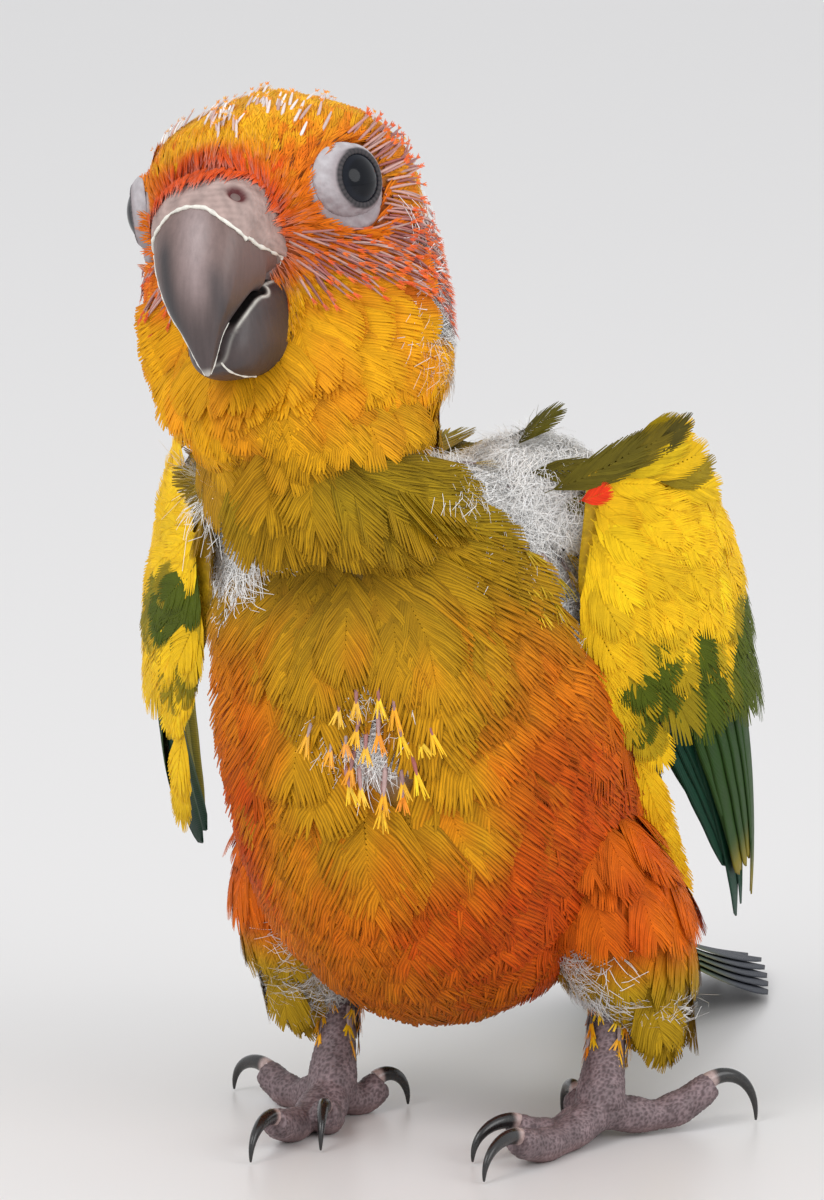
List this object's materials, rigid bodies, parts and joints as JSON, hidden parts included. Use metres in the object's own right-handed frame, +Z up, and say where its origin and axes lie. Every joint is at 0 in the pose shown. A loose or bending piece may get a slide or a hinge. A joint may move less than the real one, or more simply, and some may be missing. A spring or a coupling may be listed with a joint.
{
  "type": "young sun conure",
  "caption": "Life-size model of a young sun conure standing on both feet, head turned, wings folded and short tail held low.",
  "frame": {"origin": "under the middle of the whole model's box, at the level of the floor it stands on", "axes": "+Z up, -Y roughly the way the bird's breast faces, +X towards the bird's left side"},
  "size_m": [0.0898, 0.1364, 0.1415],
  "materials": {
    "plumage_orange": "soft orange head and thigh feathers",
    "plumage_olive": "soft olive-yellow body feathers",
    "wing_green": "yellow and green wing and tail feathers with a slight sheen",
    "bill_horn": "satin grey-brown horn",
    "leg_skin": "scaly pinkish-grey skin",
    "claw_horn": "glossy black horn",
    "eye_dark": "wet gloss"
  },
  "bodies": {
    "root": {"torso": "plumage_olive", "neck": "plumage_olive", "head": "plumage_orange", "bill_upper": "bill_horn", "bill_lower": "bill_horn", "eye_left": "eye_dark", "eye_right": "eye_dark", "wing_left": "wing_green", "wing_right": "wing_green", "tail": "wing_green", "thigh_left": "plumage_orange", "thigh_right": "plumage_orange", "foot_left": "leg_skin", "foot_right": "leg_skin", "claw_left_1": "claw_horn", "claw_left_2": "claw_horn", "claw_left_3": "claw_horn", "claw_left_4": "claw_horn", "claw_right_1": "claw_horn", "claw_right_2": "claw_horn", "claw_right_3": "claw_horn", "claw_right_4": "claw_horn"}
  },
  "joints": []
}
